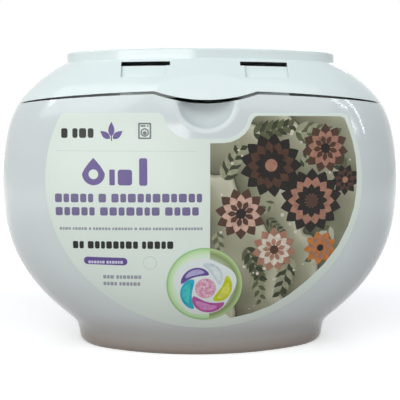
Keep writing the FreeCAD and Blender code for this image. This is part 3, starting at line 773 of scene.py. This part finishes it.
def podMaterial(name, colour):
    look = podLook
    material, tree, shader = makeMaterial(name)
    place = objectPlace(tree)
    if name == "podGrains":
        cells = addNode(tree, "ShaderNodeTexVoronoi", Scale=look["grainScale"])
        tree.links.new(place, cells.inputs["Vector"])
        height = cells.outputs["Distance"]
        tint = tintBy(tree, height, look["grainPale"], colour, 0.1, 0.7)
        bumpFrom(tree, shader, height, look["grainBump"], look["bumpDepth"])
    else:
        pale = tuple(min(look["palest"], c * look["paler"] + look["haze"]) for c in colour)
        tint = tintBy(tree, noiseAt(tree, place, look["hazeScale"]), colour, pale, 0.35, 0.75)
        bumpFrom(tree, shader, noiseAt(tree, place, look["rippleScale"]), look["ripple"], look["bumpDepth"])
    tree.links.new(tint, shader.inputs["Base Color"])
    setShader(shader, look["finish"])
    return material


def podHeight(part, turn):
    # height over the seam as a share of the pod's half thickness, and the slot of the spot's colour
    look = podLook
    middle, end, dip = look["middle"], look["chamberEnd"], look["filmDip"]
    if part <= middle:
        return dip + (look["middleCrown"] - dip) * (1 - (part / middle) ** 2) ** 0.5, grainSlot
    if part >= end:
        return look["seam"], filmSlot
    across = (part - middle) / (end - middle)
    place = (turn / (2 * math.pi) * look["parts"] + look["swirl"] * across) % look["parts"]
    number, along = int(place), place % 1.0
    crown = math.sin(math.pi * across) ** look["crownAcross"] * math.sin(math.pi * along) ** look["crownAlong"]
    filled = min(along, 1 - along) > look["ridge"] and look["ridgeIn"] < across < look["ridgeOut"]
    return dip + (look["partCrown"] - dip) * crown, number if filled else filmSlot


def podBelly(part):
    # depth of the plain underside below the seam, as the same share
    seam, end = podLook["seam"], podLook["chamberEnd"]
    if part >= end:
        return seam
    return seam + (1 - seam) * (1 - (part / end) ** 2) ** podLook["belly"]


def podMesh(radius, half):
    mesh = bmesh.new()
    rings, around = podLook["rings"], podLook["around"]
    tops, bottoms = [], []
    for part in rings:
        top, bottom = [], []
        for k in range(around if part else 1):
            turn = 2 * math.pi * k / around
            x, y = radius * part * math.cos(turn), radius * part * math.sin(turn)
            top.append(mesh.verts.new((x, y, podHeight(part, turn)[0] * half)))
            if part < 1:
                bottom.append(mesh.verts.new((x, y, -podBelly(part) * half)))
        tops.append(top)
        bottoms.append(bottom or top)
    for rows, under in ((tops, False), (bottoms, True)):
        for n in range(len(rings) - 1):
            inner, outer = rows[n], rows[n + 1]
            middle = (rings[n] + rings[n + 1]) / 2
            for k in range(around):
                m = (k + 1) % around
                corners = [inner[0]] if len(inner) == 1 else [inner[m], inner[k]]
                corners += [outer[k], outer[m]]
                face = mesh.faces.new(corners[::-1] if under else corners)
                face.smooth = True
                if under:
                    face.material_index = cyanSlot if middle < podLook["chamberEnd"] else filmSlot
                else:
                    face.material_index = podHeight(middle, 2 * math.pi * (k + 0.5) / around)[1]
    data = bpy.data.meshes.new("podPillow")
    mesh.to_mesh(data)
    mesh.free()
    for name, colour in podLook["colours"].items():
        data.materials.append(podMaterial(name, colour))
    return data


def makePods():
    names = sorted(name for name in nodes if name.startswith("pod_"))
    low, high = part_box(names[0])
    pillow = podMesh((high.x - low.x) / 2, (high.z - low.z) / 2)
    spins = random.Random(podLook["turnSeed"])
    for name in names:
        low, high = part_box(name)
        pod = bpy.data.objects.new(name.replace("pod", "soft_pod"), pillow)
        pod.location = (low + high) / 2
        pod.rotation_euler = (0, 0, spins.uniform(0, 2 * math.pi))
        bpy.context.collection.objects.link(pod)
        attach(pod, tubBody)
        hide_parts(name)
        dress(name, pillow.materials[filmSlot])


makePods()
print("pods made")


# Floor, light and camera

def backgroundRays(tree):
    # 1 for the camera's own rays and for those that plastic mirrors or lets through
    path = tree.nodes.new("ShaderNodeLightPath")
    seen = path.outputs["Is Camera Ray"]
    for ray in ("Is Glossy Ray", "Is Transmission Ray"):
        seen = doMath(tree, "MAXIMUM", seen, path.outputs[ray])
    return seen


def showBackground(tree, lit, seen, output):
    # lit lights the object, seen is what the background rays meet
    mix = tree.nodes.new("ShaderNodeMixShader")
    for socket, source in zip(mix.inputs, (backgroundRays(tree), lit.outputs[0], seen.outputs[0])):
        tree.links.new(source, socket)
    tree.links.new(mix.outputs[0], tree.nodes[output].inputs["Surface"])


floorLook = {
    "colour": (0.21, 0.175, 0.165), "half": 3.0, "grainScale": 6.0, "darker": 0.97, "roughness": 0.8,
    "seen": (0.93, 0.93, 0.93),
    "glowFrom": 0.15, "glowTo": 0.8, "glowNear": 0.36, "glowFar": 1.0,     # metres, then strengths
}


def makeFloor():
    look = floorLook
    bpy.ops.mesh.primitive_plane_add(size=look["half"] * 2, location=(0, 0, 0))
    floor = bpy.context.object
    floor.name = "floor"
    material, tree, shader = makeMaterial("floorPale")
    grain = noiseAt(tree, objectPlace(tree), look["grainScale"])
    darker = tuple(c * look["darker"] for c in look["colour"])
    tree.links.new(tintBy(tree, grain, darker, look["colour"]), shader.inputs["Base Color"])
    setShader(shader, {"Roughness": look["roughness"]})
    white = addNode(tree, "ShaderNodeBsdfDiffuse", Color=(*look["seen"], 1))
    glow = addNode(tree, "ShaderNodeEmission", Color=(1, 1, 1, 1))
    reach = doVectorMath(tree, "LENGTH", objectCoords(tree))
    fade = remap(tree, reach, look["glowNear"], look["glowFar"], look["glowFrom"], look["glowTo"], "SMOOTHSTEP")
    tree.links.new(fade, glow.inputs["Strength"])
    bright = tree.nodes.new("ShaderNodeAddShader")
    tree.links.new(white.outputs[0], bright.inputs[0])
    tree.links.new(glow.outputs[0], bright.inputs[1])
    showBackground(tree, shader, bright, "Material Output")
    floor.data.materials.append(material)


makeFloor()

worldLook = {"ambient": (0.86, 0.93, 0.98), "strength": 0.24}


def makeWorld():
    world = bpy.data.worlds.new("studio")
    bpy.context.scene.world = world
    world.use_nodes = True
    tree = world.node_tree
    background = tree.nodes["Background"]
    setShader(background, {"Color": (*worldLook["ambient"], 1), "Strength": worldLook["strength"]})
    white = addNode(tree, "ShaderNodeBackground", Color=(1, 1, 1, 1), Strength=1.0)
    showBackground(tree, background, white, "World Output")


makeWorld()

lamps = {
    "keyLeft": {"at": (-0.85, -0.60, 1.00), "size": (1.3, 0.9), "power": 6.9, "colour": (0.97, 1.0, 0.99)},
    "softTop": {"at": (0.30, -0.85, 0.95), "size": (1.5, 1.0), "power": 5.6, "colour": (0.98, 1.0, 1.0)},
    "fillFront": {"at": (-0.60, -1.25, 0.10), "size": (1.1, 0.5), "power": 9.4, "colour": (1.0, 1.0, 0.98)},
    "fillBack": {"at": (0.10, 1.20, 0.80), "size": (1.0, 0.6), "power": 5.0, "colour": (0.98, 0.99, 1.0)},
    "streakRight": {"at": (0.84, -0.46, 0.53), "size": (0.030, 0.50), "power": 0.55, "colour": (0.93, 0.95, 1.0)},
    "streakFar": {"at": (0.92, -0.30, 0.53), "size": (0.045, 0.50), "power": 0.95, "colour": (0.93, 0.95, 1.0)},
    "glintLeft": {"at": (-0.80, -0.19, 0.72), "size": (0.05, 0.16), "power": 0.3, "colour": (1.0, 1.0, 1.0)},
}
lampAim = Vector((0, 0, 0.09))


def makeLamps():
    for name, look in lamps.items():
        data = bpy.data.lights.new(name, "AREA")
        data.shape = "RECTANGLE"
        data.size, data.size_y = look["size"]
        data.energy = look["power"]
        data.color = look["colour"]
        lamp = bpy.data.objects.new(name, data)
        lamp.location = look["at"]
        lamp.rotation_euler = (lampAim - lamp.location).to_track_quat("-Z", "Y").to_euler()
        bpy.context.collection.objects.link(lamp)


makeLamps()

view = {"distance": 0.460, "height": 0.122, "yaw": 2.6, "pitch": 5.27, "lens": 71.5, "sensor": 36.0,
        "across": -0.0006}


def makeCamera():
    data = bpy.data.cameras.new("camera")
    data.lens = view["lens"]
    data.sensor_width = view["sensor"]
    camera = bpy.data.objects.new("camera", data)
    yaw = math.radians(view["yaw"])
    camera.location = (-view["distance"] * math.sin(yaw) + view["across"] * math.cos(yaw),
                       -view["distance"] * math.cos(yaw) - view["across"] * math.sin(yaw), view["height"])
    camera.rotation_euler = (math.radians(90 - view["pitch"]), 0, -yaw)
    bpy.context.collection.objects.link(camera)
    bpy.context.scene.camera = camera


makeCamera()
bpy.context.scene.view_settings.view_transform = "Standard"
print("stage, lamps and camera set")
